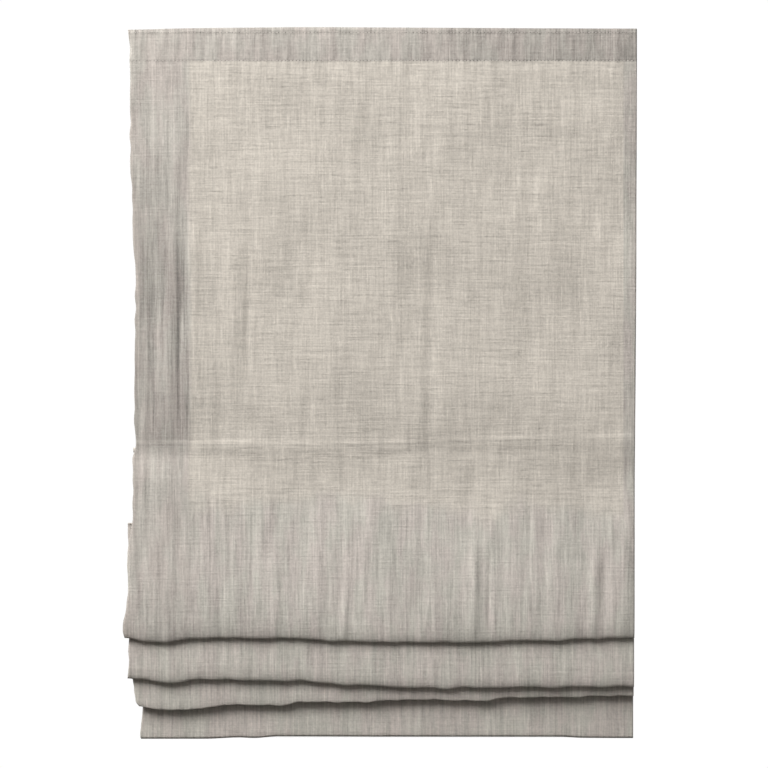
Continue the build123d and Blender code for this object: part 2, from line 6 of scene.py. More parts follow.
import bpy
import numpy as np
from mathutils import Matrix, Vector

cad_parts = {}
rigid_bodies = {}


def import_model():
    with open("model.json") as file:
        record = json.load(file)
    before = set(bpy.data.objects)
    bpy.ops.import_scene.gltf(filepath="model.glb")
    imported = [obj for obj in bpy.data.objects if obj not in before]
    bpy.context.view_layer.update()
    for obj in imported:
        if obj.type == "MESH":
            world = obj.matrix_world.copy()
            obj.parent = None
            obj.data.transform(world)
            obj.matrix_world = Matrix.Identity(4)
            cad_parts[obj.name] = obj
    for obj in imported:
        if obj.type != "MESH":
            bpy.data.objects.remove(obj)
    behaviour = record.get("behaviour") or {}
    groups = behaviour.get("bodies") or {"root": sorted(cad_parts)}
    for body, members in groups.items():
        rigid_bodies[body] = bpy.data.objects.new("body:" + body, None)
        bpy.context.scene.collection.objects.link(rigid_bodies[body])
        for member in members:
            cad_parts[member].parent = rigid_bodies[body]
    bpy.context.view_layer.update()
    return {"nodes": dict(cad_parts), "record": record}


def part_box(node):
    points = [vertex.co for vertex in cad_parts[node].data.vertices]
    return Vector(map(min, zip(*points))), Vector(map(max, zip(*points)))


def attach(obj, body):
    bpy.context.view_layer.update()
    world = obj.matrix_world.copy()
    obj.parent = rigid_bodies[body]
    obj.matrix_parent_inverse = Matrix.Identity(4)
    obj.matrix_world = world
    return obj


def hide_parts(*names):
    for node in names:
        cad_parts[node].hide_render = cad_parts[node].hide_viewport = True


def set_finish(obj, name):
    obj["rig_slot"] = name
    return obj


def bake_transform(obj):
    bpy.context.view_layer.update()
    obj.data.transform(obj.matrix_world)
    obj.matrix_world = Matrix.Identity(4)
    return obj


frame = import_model()

# =============================================================== places read from the frame
MM = 0.001


def centre(node):
    """Middle of a node's box."""
    low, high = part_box(node)
    return (low + high) / 2


PANEL_LOW, PANEL_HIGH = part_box("front_panel")
LEFT, RIGHT, TOP = PANEL_LOW.x, PANEL_HIGH.x, PANEL_HIGH.z
WIDTH = RIGHT - LEFT
CLOTH_T = PANEL_HIGH.y - PANEL_LOW.y
PANEL_Y = (PANEL_LOW.y + PANEL_HIGH.y) / 2
ROD = [centre(f"rod_{i}") for i in range(1, 5)]
FOLD_NODES = ["upper_fold_cloth", "middle_fold_cloth", "bottom_cloth"]
CREST = [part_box(n)[1].z - CLOTH_T / 2 for n in FOLD_NODES]
BODY = ["rail", "upper_fold", "middle_fold", "bottom_section"]
FOLD_CLOTH = 308 * MM  # cloth between two rods
NOSE = [(ROD[i].z + ROD[i + 1].z - FOLD_CLOTH) / 2 for i in range(3)]
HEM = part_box("bottom_cloth")[0].z
POCKET_R = (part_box("rod_pocket_1")[1].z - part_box("rod_pocket_1")[0].z) / 2

# =============================================================== sizes of the cloth's look
COLUMNS = 290
ROW = 4.4 * MM  # along the cloth, where it is seen
HEADER = 33.5 * MM
HEADER_GIVE = 0.45 * MM  # how far back the header can pucker before it meets its tape
LEFT_HEM = 59 * MM
RIGHT_HEM = 12 * MM
STITCH_ROWS = [TOP - 4.5 * MM, TOP - 32.5 * MM]
STITCH_PITCH = 3.55 * MM
LAYER_PITCH = 1.4 * MM
LAYER = [PANEL_Y + LAYER_PITCH * i for i in range(7)]  # centres of the stacked layers at the rods
TURN_R = 0.7 * MM
# Each fold's turn: its front and back depths, and how far above its lowest line it begins.
TURN_FRONT = [PANEL_Y - 9.6 * MM, PANEL_Y - 2.8 * MM, PANEL_Y + 5.0 * MM]
TURN_BACK = [PANEL_Y - 3.6 * MM, PANEL_Y + 2.8 * MM, PANEL_Y + 7.2 * MM]
TURN_H = [17 * MM, 14 * MM, 10 * MM]
TAIL_SLOPE = (20 * MM, 86 * MM)  # below the last rod: where the bottom section leans back to its hem
HEM_SLACK = 2.2 * MM  # room in the bottom hem in front of the weight bar
POCKET_PAST_ROD = 0.8 * MM
SPLIT_ABOVE = 8 * MM  # from the turn's start up to the seam between front and back pieces
DOUBLED_BACK = 0.5 * MM  # how much thicker the turned hems and the header are
HEM_SEAM_ABOVE = 6 * MM  # from the weight bar's top up to the hem's seam
HEM_ALLOWANCE = 3 * MM  # cloth past that seam
FIRST_STITCH = 5 * MM  # from the left edge

# Offsets of the outlines across the cloth, in mm: pairs of (share of the width, offset).
NOSE_LINE = [
    [
        (0, 2), (0.03, -1.2), (0.09, -1.4), (0.13, 1.4), (0.22, 2.2), (0.32, 1.8), (0.42, -1), (0.62, -2.4),
        (0.82, -0.4), (1, 2.2),
    ],
    [
        (0, 4.8), (0.02, 3), (0.09, 0), (0.13, 2.6), (0.17, 3.2), (0.27, 2), (0.34, 1.2), (0.45, -2.4),
        (0.6, -5.4), (0.8, -4.6), (1, -4),
    ],
    [
        (0, -8.5), (0.02, -11), (0.08, -12.6), (0.14, -9.8), (0.2, -7.3), (0.28, -8), (0.33, -5.4),
        (0.44, -4.8), (0.6, -2), (0.66, -3.2), (0.7, -3.4), (0.74, -0.3), (0.85, 0.2), (1, 1.2),
    ],
]
HEM_LINE = [
    (0, -0.3), (0.13, -0.3), (0.2, 1), (0.23, 0.5), (0.28, 2.1), (0.5, 1.8), (0.85, 1.7), (0.9, 0.6),
    (1, 0.4),
]
TOP_LINE = [
    (0, -1.6), (0.04, -1.3), (0.1, -0.4), (0.25, 0.5), (0.35, 0.9), (0.6, 0.3), (0.8, -0.2), (1, -0.5),
]
# Offsets of the left edge of each layer, in mm: pairs of (drop below the top edge, offset).
# Layer A runs from the header to rod 2, and B, C and D from rods 2, 3 and 4.
LEFT_LINE = {
    "A": [
        (0, -0.4), (6, 0.6), (30, 1.8), (140, 2.2), (165, 4.2), (215, 4.8), (240, 7.4), (392, 6.4),
        (415, 7.8), (426, 5.8), (432, 4.6), (460, 5.2), (492, 4.6), (520, 1.2), (551, 1.4), (556, 2.4),
        (562, 0.6), (580, -1.4), (595, -4), (603, -4.8), (609, -3.4), (612, -1.6),
    ],
    "B": [(480, -0.6), (500, -0.4), (530, -0.6), (612, 1.1), (640, 1), (649, -0.4), (652, -0.6), (655, 0.6)],
    "C": [(490, 1), (640, 3), (655, 5), (668, 6.4), (675, 8), (680, 11)],
    "D": [(490, 3), (640, 9), (660, 13.6), (700, 12.4), (709, 11.6), (713, 12.6)],
}
RIGHT_LINE = [(0, 0), (290, -1), (430, -2), (612, -3), (715, -3)]


def line(pairs, at):
    """A smooth curve through pairs, read at the given places."""
    xs = np.array([p[0] for p in pairs], float)
    ys = np.array([p[1] for p in pairs], float)
    at = np.clip(at, xs[0], xs[-1])
    i = np.clip(np.searchsorted(xs, at) - 1, 0, len(xs) - 2)
    t = (at - xs[i]) / (xs[i + 1] - xs[i])
    rise = np.diff(ys) / np.diff(xs)
    same = rise[:-1] * rise[1:] > 0
    middle = np.where(same, 2 * rise[:-1] * rise[1:] / np.where(same, rise[:-1] + rise[1:], 1), 0)
    slope = np.concatenate([[0], middle, [0]])
    gap = xs[i + 1] - xs[i]
    h00 = 2 * t**3 - 3 * t**2 + 1
    h10 = t**3 - 2 * t**2 + t
    h01 = -2 * t**3 + 3 * t**2
    h11 = t**3 - t**2
    return h00 * ys[i] + h10 * gap * slope[i] + h01 * ys[i + 1] + h11 * gap * slope[i + 1]


def smooth(value, low, high):
    """A soft step from 0 at low to 1 at high."""
    t = np.clip((value - low) / (high - low), 0, 1)
    return t * t * (3 - 2 * t)


# =============================================================== wrinkles
def waves(x, z, seed, count, short, long, tall=1.0):
    """A smooth random field of about unit size, in waves from short to long, tall times longer in z."""
    rng = np.random.default_rng(seed)
    total = np.zeros(np.broadcast(x, z).shape)
    for _ in range(count):
        length = rng.uniform(short, long)
        turn = rng.uniform(0, 2 * math.pi)
        phase = rng.uniform(0, 2 * math.pi)
        total += np.sin(2 * math.pi / length * (math.cos(turn) * x + math.sin(turn) * z / tall) + phase)
    return total / math.sqrt(count / 2)


def creases(x, z, seed, count, z_low, z_high, width, length, height):
    """Upright pressed creases at random places between z_low and z_high."""
    rng = np.random.default_rng(seed)
    total = np.zeros(np.broadcast(x, z).shape)
    for _ in range(count):
        x0 = rng.uniform(LEFT, RIGHT)
        z0 = rng.uniform(z_low, z_high)
        lean = rng.normal(0, 0.03)
        half_width = width * rng.uniform(0.6, 1.5)
        half_length = length * rng.uniform(0.5, 1.4)
        size = height * rng.uniform(0.4, 1.0) * rng.choice([-1, 1])
        across = (x - x0 - lean * (z - z0)) / half_width
        total += size * np.exp(-across * across) * np.exp(-(((z - z0) / half_length) ** 4))
    return total


# The creases that stand out: place across, drop to the middle, width, half length and height, in mm.
PLAIN_CREASES = [
    (92, 560, 3, 46, 1.5), (107, 566, 2.4, 44, -1.3), (212, 566, 5, 46, 1.6), (221, 560, 4, 40, -1.2),
    (-100, 575, 4, 30, -1.1), (-38, 590, 3.4, 26, 1.1), (14, 200, 8, 170, 0.9), (48, 330, 6, 110, -0.9),
    (-150, 290, 9, 90, 1.1), (-135, 290, 3, 70, -0.8), (148, 250, 8, 120, -0.7), (-230, 330, 4, 120, -1.2),
    (-213, 300, 5, 110, 1.2), (-202, 320, 3, 90, -1.1), (-188, 260, 5, 80, 0.9),
]
CREASE_LEAN = 0.02


def plain_creases(x, drop):
    """The few long pressed creases that catch the eye."""
    total = np.zeros(np.broadcast(x, drop).shape)
    for at, middle, width, half, height in PLAIN_CREASES:
        below = drop - middle * MM
        across = (x - at * MM + CREASE_LEAN * below) / (width * MM)
        total += height * MM * np.exp(-across * across) * np.exp(-((below / (half * MM)) ** 4))
    return total


def billow(x, z):
    """How far the hanging cloth stands off its flat place: nothing where it is sewn or rodded."""
    held = smooth(TOP - z, HEADER, HEADER + 90 * MM)
    held *= 1 - 0.8 * np.exp(-(((z - ROD[0].z) / (14 * MM)) ** 2))
    held *= smooth(z, CREST[0] - 20 * MM, CREST[0] + 50 * MM)
    return held * 1.1 * MM * waves(x, z, 3, 9, 90 * MM, 260 * MM, 1.6)


def fine_wrinkles(x, drop):
    """Small wrinkles of the cloth itself. drop is the length of cloth above the point."""
    body = 0.10 * MM * waves(x, drop, 11, 14, 14 * MM, 45 * MM, 3.0)
    body += 0.05 * MM * waves(x, drop, 12, 14, 7 * MM, 16 * MM, 6.0)
    pressed = creases(x, drop, 21, 46, 0.47, 0.68, 2.2 * MM, 38 * MM, 0.42 * MM)
    pressed += creases(x, drop, 22, 60, 0.68, 1.5, 2.2 * MM, 30 * MM, 0.40 * MM)
    pressed += creases(x, drop, 23, 12, 0.06, 0.45, 2.6 * MM, 60 * MM, 0.30 * MM)
    left = smooth(LEFT + LEFT_HEM + 6 * MM - x, 0, 12 * MM)
    pressed += left * creases(x, drop, 24, 150, 0.03, 0.6, 2.4 * MM, 60 * MM, 0.45 * MM)
    return body + pressed + plain_creases(x, drop)


def rod_relief(x, z):
    """The first rod's pocket pressing the panel forwards, with a sharper upper edge."""
    above = z - rod_band(x)
    press = smooth(above, -7 * MM, -3 * MM) * smooth(7.5 * MM - above, 0, 2.2 * MM)
    return -0.55 * MM * press * (0.7 + 0.3 * waves(x, 0 * x, 41, 6, 30 * MM, 90 * MM))


def rod_band(x):
    """Height of the middle of the band that the first rod shows as: it rises towards the right."""
    return ROD[0].z + 1 * MM + 7 * MM * smooth(x, LEFT * 0.3, RIGHT)


def header_relief(x, drop):
    """Puckers that the two rows of stitches pull into the header, and the dip along each row."""
    total = np.zeros(np.broadcast(x, drop).shape)
    for i, z in enumerate(STITCH_ROWS):
        near = np.exp(-(((drop - (TOP - z)) / (3.2 * MM)) ** 2))
        wide = np.exp(-(((drop - (TOP - z)) / (9 * MM)) ** 2))
        total += 0.42 * MM * near
        total += 0.26 * MM * wide * waves(x, 0 * x, 31 + i, 10, 7 * MM, 16 * MM)
    inside = smooth(drop, 3 * MM, 8 * MM) * smooth(HEADER - drop, 0, 5 * MM)
    return total + inside * 0.16 * MM * waves(x, drop, 35, 12, 8 * MM, 20 * MM, 4.0)


# =============================================================== cloth meshes
def thick_sheet(name, points, front_t, back_t):
    """A closed shell round a grid of points, with the given half thicknesses to front and back."""
    rows, cols = points.shape[:2]
    down = np.gradient(points, axis=0)
    right = np.gradient(points, axis=1)
    normal = np.cross(down, right)
    normal /= np.maximum(np.linalg.norm(normal, axis=2, keepdims=True), 1e-12)
    shells = [points + normal * front_t[..., None], points - normal * back_t[..., None]]
    verts = np.concatenate([s.reshape(-1, 3) for s in shells])
    r, c = np.meshgrid(np.arange(rows - 1), np.arange(cols - 1), indexing="ij")
    a = (r * cols + c).ravel()
    near = np.stack([a, a + cols, a + cols + 1, a + 1], 1)
    far = near[:, ::-1] + rows * cols
    rim = [np.arange(cols), np.arange(1, rows) * cols + cols - 1]
    rim += [(rows - 1) * cols + np.arange(cols - 2, -1, -1), np.arange(rows - 2, 0, -1) * cols]
    rim = np.concatenate(rim)
    after = np.roll(rim, -1)
    side = np.stack([rim, after, after + rows * cols, rim + rows * cols], 1)
    return mesh_piece(name, verts, np.concatenate([near, far, side]).tolist())


def mesh_piece(name, verts, faces):
    """A smooth-shaded object of the given points and faces."""
    mesh = bpy.data.meshes.new(name)
    mesh.from_pydata(verts.tolist(), [], faces)
    mesh.validate()
    mesh.polygons.foreach_set("use_smooth", [True] * len(mesh.polygons))
    mesh.update()
    piece = bpy.data.objects.new(name, mesh)
    bpy.context.scene.collection.objects.link(piece)
    return piece


SHARE = np.linspace(0, 1, COLUMNS)


def edge_x(layer, z):
    """x of each column of a layer, whose edges wander as z goes down."""
    drop = (TOP - z) / MM
    left = LEFT + MM * line(LEFT_LINE[layer], drop)
    right = RIGHT + MM * line(RIGHT_LINE, drop)
    return left + SHARE[None, :] * (right - left)


def path_grid(layer, sections, drop_start):
    """Joins sections of (depth, height) rows into one grid, with the length of cloth above each row."""
    y = np.concatenate([s[0] for s in sections])
    z = np.concatenate([s[1] for s in sections])
    x = edge_x(layer, z)
    edge = 0.3 * MM * waves(0, z, 50 + ord(layer), 8, 6 * MM, 30 * MM)
    x = x + edge * (1 - SHARE)
    step = np.hypot(np.diff(y, axis=0), np.diff(z, axis=0))
    drop = drop_start + np.concatenate([np.zeros((1, COLUMNS)), np.cumsum(step, axis=0)])
    return x, y, z, drop


def column(values):
    """One value for each column of the cloth."""
    return np.broadcast_to(np.asarray(values, float), (COLUMNS,))


def run(y_of, z_from, z_to, rows, closed=False):
    """Rows from z_from to z_to, at the depth y_of(z)."""
    t = np.linspace(0, 1, rows + 1)[:, None]
    z = column(z_from)[None, :] * (1 - t) + column(z_to)[None, :] * t
    y = y_of(z)
    return (y, z) if closed else (y[:-1], z[:-1])


def over_crest(front, back, crest, downwards):
    """Rows of the small quarter turn by which a layer leaves a rod, or comes up to it."""
    middle = (front + back) / 2
    if downwards:
        t = np.linspace(math.pi / 2, 0, 4)[:-1, None]
        y = middle + TURN_R * np.cos(t) + 0 * SHARE
    else:
        t = np.linspace(0, math.pi / 2, 4)[:, None]
        y = middle - TURN_R * np.cos(t) + 0 * SHARE
    z = crest - TURN_R + TURN_R * np.sin(t) + 0 * SHARE
    return y, z


def turn(front, back, start_z, height, rows):
    """The half turn at the bottom of a fold."""
    t = np.linspace(0, math.pi, rows + 1)[:-1, None]
    y = (front + back) / 2 - (back - front) / 2 * np.cos(t)
    z = column(start_z)[None, :] - height * np.sin(t)
    return np.broadcast_to(y, z.shape), z


def fade(z_a, y_a, z_b, y_b):
    """Depth as a smooth function of height."""
    return lambda z: y_a + (y_b - y_a) * smooth(z_a - z, 0, z_a - z_b)


def nose_z(i):
    """The fold's lowest line, which sags and puckers a little between its broad waves."""
    ripple = 0.45 * MM * waves(WIDTH * SHARE, 0, 90 + i, 10, 14 * MM, 60 * MM)
    return NOSE[i] + MM * line(NOSE_LINE[i], SHARE) + ripple


def panel_relief(x, z, drop):
    """How far back the upper panel stands from its flat place, which the tapes limit at the header."""
    back = billow(x, z) - fine_wrinkles(x, drop) + header_relief(x, drop) + rod_relief(x, z)
    pressed = np.maximum(back, 0)
    over = pressed - HEADER_GIVE * np.tanh(pressed / HEADER_GIVE)
    return back - over * smooth(HEADER + 8 * MM - drop, 0, 8 * MM)


def wrinkled(x, y, z, drop, header):
    """The cloth's points, with its billows and wrinkles."""
    if header:
        y = y + panel_relief(x, z, drop)
    else:
        y = y + billow(x, z) - fine_wrinkles(x, drop)
    return np.stack([x, y, z], 2)


def half_thickness(x, drop):
    """Front and back half thicknesses: the turned hems and header are doubled towards the back."""
    base = np.full(x.shape, CLOTH_T / 2)
    left = smooth(LEFT + LEFT_HEM - x + MM, 0, 1.5 * MM)
    right = smooth(x - (RIGHT - RIGHT_HEM - MM), 0, 1.5 * MM)
    top = smooth(HEADER - drop, 0, 1.5 * MM)
    return base, base + DOUBLED_BACK * np.maximum(np.maximum(left, right), top)


def make_sheet(name, layer, sections, drop_start, header=False):
    """A cloth piece along joined sections, which keeps the length of cloth above its last row."""
    x, y, z, drop = path_grid(layer, sections, drop_start)
    front_t, back_t = half_thickness(x, drop)
    piece = thick_sheet(name, wrinkled(x, y, z, drop, header), front_t, back_t)
    piece["cloth_drop"] = float(np.mean(drop[-1]))
    return piece


def split_z(i):
    """Height of the seam between a fold's front and back pieces."""
    return NOSE[i] + TURN_H[i] + SPLIT_ABOVE


def blend_down(piece):
    """Fixes a front piece's place into its points."""
    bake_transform(piece)


def blend_up(piece):
    """Fixes a back piece's place into its points."""
    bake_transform(piece)


def rows_for(length, row=ROW):
    """How many rows of about the given height a length takes."""
    return max(2, round(abs(length) / row))


def front_piece(i, name, layer, drop_start):
    """From the crest of rod i (or the top edge) down to the fold and a little way up its back."""
    tall = TURN_H[i]
    start = nose_z(i) + tall
    sections = []
    if i == 0:
        top = TOP + MM * line(TOP_LINE, SHARE)
        depth = fade(ROD[0].z, PANEL_Y, NOSE[0] + tall, TURN_FRONT[0])
        sections.append(run(depth, top, start, rows_for(TOP - NOSE[0] - tall)))
    else:
        crest = CREST[i - 1]
        sections.append(over_crest(LAYER[2 * i - 1], LAYER[2 * i], crest, True))
        depth = fade(crest - TURN_R, LAYER[2 * i], NOSE[i] + tall, TURN_FRONT[i])
        sections.append(run(depth, crest - TURN_R, start, rows_for(crest - NOSE[i] - tall)))
    sections.append(turn(TURN_FRONT[i], TURN_BACK[i], start, tall, 22))
    back = fade(CREST[i] - TURN_R, LAYER[2 * i + 1], NOSE[i] + tall, TURN_BACK[i])
    sections.append(run(back, start, split_z(i), 5, closed=True))
    return make_sheet(name, layer, sections, drop_start, header=i == 0)


def back_piece(i, name, layer, drop_start):
    """From the split up the back of fold i to the crest of the next rod."""
    tall = TURN_H[i]
    crest = CREST[i]
    back = fade(crest - TURN_R, LAYER[2 * i + 1], NOSE[i] + tall, TURN_BACK[i])
    rise = run(back, split_z(i), crest - TURN_R, rows_for(crest - split_z(i), 5 * MM))
    top = over_crest(LAYER[2 * i + 1], LAYER[2 * i + 2], crest, False)
    return make_sheet(name, layer, [rise, top], drop_start)


def tail_piece(name, layer, drop_start):
    """The bottom section, whose hem turns up behind the weight bar."""
    crest = CREST[2]
    top = over_crest(LAYER[5], LAYER[6], crest, True)
    low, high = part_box("weight_bar")
    hem_r = (high.y - low.y) / 2 + 0.2 * MM + CLOTH_T / 2
    back = (low.y + high.y) / 2 + hem_r
    front = back - 2 * hem_r - HEM_SLACK
    start = HEM + MM * line(HEM_LINE, SHARE) + CLOTH_T / 2 + hem_r
    slope = fade(ROD[3].z - TAIL_SLOPE[0], LAYER[6], ROD[3].z - TAIL_SLOPE[1], front)
    drop = run(slope, crest - TURN_R, start, rows_for(crest - HEM))
    below = turn(front, back, start, hem_r, 12)
    seam = high.z + HEM_SEAM_ABOVE
    hem_back = fade(seam, front + CLOTH_T + 0.1 * MM, seam - 5 * MM, back)
    rise = run(hem_back, start, seam + HEM_ALLOWANCE, 12, closed=True)
    return make_sheet(name, layer, [top, drop, below, rise], drop_start)


# The seven pieces, in order down the cloth.
cloth = {}
cloth["panel"] = front_piece(0, "cloth_upper_panel", "A", 0.0)
cloth["back_a"] = back_piece(0, "cloth_first_fold_back", "A", cloth["panel"]["cloth_drop"])
cloth["front_b"] = front_piece(1, "cloth_second_fold_front", "B", cloth["back_a"]["cloth_drop"])
cloth["back_b"] = back_piece(1, "cloth_second_fold_back", "B", cloth["front_b"]["cloth_drop"])
cloth["front_c"] = front_piece(2, "cloth_third_fold_front", "C", cloth["back_b"]["cloth_drop"])
cloth["back_c"] = back_piece(2, "cloth_third_fold_back", "C", cloth["front_c"]["cloth_drop"])
cloth["tail"] = tail_piece("cloth_bottom_section", "D", cloth["back_c"]["cloth_drop"])

drops = [piece["cloth_drop"] for piece in cloth.values()]
lengths = np.diff([0.0] + drops)
for piece, length in zip(cloth.values(), lengths):
    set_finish(piece, "linen")
blend_down(cloth["panel"])
blend_up(cloth["back_a"])
blend_down(cloth["front_b"])
blend_up(cloth["back_b"])
blend_down(cloth["front_c"])
blend_up(cloth["back_c"])
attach(cloth["tail"], "bottom_section")
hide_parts("front_panel")
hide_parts("upper_fold_cloth")
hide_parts("middle_fold_cloth")
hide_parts("bottom_cloth")


# =============================================================== sewing, pockets, tapes and cords
def tube(path, radius, sides):
    """The points and faces of a round closed tube along a list of points."""
    path = np.asarray(path, float)
    ahead = np.gradient(path, axis=0)
    ahead /= np.linalg.norm(ahead, axis=1, keepdims=True)
    up = np.array([0.0, 0.0, 1.0]) if abs(ahead[0][2]) < 0.9 else np.array([0.0, 1.0, 0.0])
    radius = np.broadcast_to(np.asarray(radius, float), (len(path),))
    rings = []
    for point, direction, r in zip(path, ahead, radius):
        side = np.cross(direction, up)
        side /= np.linalg.norm(side)
        up = np.cross(side, direction)
        angle = np.linspace(0, 2 * math.pi, sides, endpoint=False)
        rings.append(point + r * (np.cos(angle)[:, None] * side + np.sin(angle)[:, None] * up))
    verts = np.concatenate(rings)
    faces = []
    for i in range(len(path) - 1):
        for k in range(sides):
            a, b = i * sides + k, i * sides + (k + 1) % sides
            faces.append([a, b, b + sides, a + sides])
    last = (len(path) - 1) * sides
    faces += [[0, k + 1, k] for k in range(1, sides - 1)]
    faces += [[last, last + k, last + k + 1] for k in range(1, sides - 1)]
    return verts, faces


def joined(name, parts):
    """One piece from several (verts, faces) parts."""
    verts = []
    faces = []
    count = 0
    for part_verts, part_faces in parts:
        verts.append(part_verts)
        faces += [[i + count for i in face] for face in part_faces]
        count += len(part_verts)
    return mesh_piece(name, np.concatenate(verts), faces)


def panel_front_y(x, z):
    """Depth of the upper panel's front face near its top."""
    drop = TOP + MM * line(TOP_LINE, (x - LEFT) / WIDTH) - z
    return PANEL_Y + panel_relief(x, z, drop) - CLOTH_T / 2


STITCH_POINTS = 6
THREAD_R = 0.21 * MM


def stitch_row(row_z):
    """A row of lockstitches: each thread rises from its hole, lies on the cloth and dips again."""
    rng = np.random.default_rng(round(-row_z * 1e5) + 7000)
    parts = []
    count = int((WIDTH - 8 * MM) / STITCH_PITCH)
    for k in range(count):
        x0 = LEFT + FIRST_STITCH + k * STITCH_PITCH
        x = x0 + np.linspace(0.12, 0.86, STITCH_POINTS) * STITCH_PITCH
        lift = np.sin(np.linspace(0, math.pi, STITCH_POINTS)) ** 0.6
        lean = np.linspace(-0.1, 0.1, STITCH_POINTS) * MM
        z = np.full(STITCH_POINTS, row_z) + rng.normal(0, 0.12 * MM) + lean
        y = panel_front_y(x, z) + 0.22 * MM - 0.30 * MM * lift
        parts.append(tube(np.stack([x, y, z], 1), THREAD_R, 6))
    return parts


stitching = joined("header_stitching", [p for z in STITCH_ROWS for p in stitch_row(z)])
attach(stitching, "rail")
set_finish(stitching, "linen")

POCKET_COLUMNS = 140
TAPE_COLUMNS = 180
TAPE_ROWS = 10
SEWN_R = POCKET_R - 0.3 * MM  # middle of a pocket's tape


def rod_pocket(i):
    """The tape sewn round one rod, which ripples a little along it."""
    low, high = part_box(f"rod_{i + 1}")
    ends = (low.x - POCKET_PAST_ROD, high.x + POCKET_PAST_ROD)
    x = np.linspace(*ends, POCKET_COLUMNS)
    angle = np.linspace(0, 2 * math.pi, 25)
    ripple = 0.12 * MM * waves(x[None, :], 40 * MM * angle[:, None], 60 + i, 12, 5 * MM, 18 * MM, 2.0)
    radius = SEWN_R + ripple
    grid = np.stack([
        np.broadcast_to(x[None, :], radius.shape),
        ROD[i].y + radius * np.sin(angle)[:, None],
        ROD[i].z + radius * np.cos(angle)[:, None],
    ], 2)
    half = np.full(radius.shape, 0.2 * MM)
    pocket = thick_sheet(f"rod_pocket_tape_{i + 1}", grid, half, half)
    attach(pocket, BODY[i])
    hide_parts(f"rod_pocket_{i + 1}")
    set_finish(pocket, "pocket_tape")


def touch_tape(name):
    """One half of the header's touch tape, thinner at its long edges."""
    low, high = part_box(name)
    x = np.linspace(low.x, high.x, TAPE_COLUMNS)[None, :]
    z = np.linspace(high.z, low.z, TAPE_ROWS)[:, None]
    y = (low.y + high.y) / 2 + 0.08 * MM * waves(x, z, 80, 10, 6 * MM, 30 * MM)
    grid = np.stack([x + 0 * z, y, z + 0 * x], 2)
    half = np.full(y.shape, (high.y - low.y) / 2 - 0.12 * MM)
    half[[0, -1], :] *= 0.4
    tape = thick_sheet(f"{name}_woven", grid, half, half)
    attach(tape, "rail")
    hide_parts(name)
    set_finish(tape, "touch_tape")


def cord_run(name, x, y, z_from, z_to, radius):
    """A straight run of braided cord, ribbed by its strands."""
    count = rows_for(z_from - z_to, 0.9 * MM)
    t = np.linspace(0, 1, count + 1)
    path = np.stack([np.full(count + 1, x), np.full(count + 1, y), z_from + (z_to - z_from) * t], 1)
    ribs = radius * (1 - 0.10 * (np.arange(count + 1) % 2))
    cord = mesh_piece(name, *tube(path, ribs, 10))
    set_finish(cord, "cord")
    return cord


def lift_cord(side):
    """A lift cord in four runs between its spool and the rods."""
    low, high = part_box(f"lift_cord_{side}")
    x, y = (low.x + high.x) / 2, (low.y + high.y) / 2
    radius = (high.x - low.x) / 2
    levels = [high.z, ROD[0].z, ROD[1].z, ROD[2].z, low.z]
    for i in range(4):
        cord = cord_run(f"lift_cord_{side}_{i + 1}", x, y, levels[i], levels[i + 1], radius)
        if i == 0:
            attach(cord, "rail")
            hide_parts(f"lift_cord_{side}")
        else:
            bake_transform(cord)
    return radius


def cord_winding(side, radius):
    """The turns of cord on a spool, side by side."""
    low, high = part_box(f"cord_turns_{side}")
    axis = centre(f"cord_turns_{side}")
    wound = (high.z - low.z) / 2 - radius
    turns = int((high.x - low.x) / (2 * radius + 0.05 * MM))
    angle = np.linspace(0, 2 * math.pi * turns, turns * 28)
    path = np.stack([
        low.x + radius + (high.x - low.x - 2 * radius) * angle / angle[-1],
        axis.y - wound * np.cos(angle),
        axis.z - wound * np.sin(angle),
    ], 1)
    winding = mesh_piece(f"cord_winding_{side}", *tube(path, radius * 0.97, 8))
    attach(winding, "cord_shaft")
    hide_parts(f"cord_turns_{side}")
    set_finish(winding, "cord")


for i in range(4):
    rod_pocket(i)
touch_tape("hook_tape")
touch_tape("loop_tape")
for side in ("left", "right"):
    cord_radius = lift_cord(side)
    cord_winding(side, cord_radius)


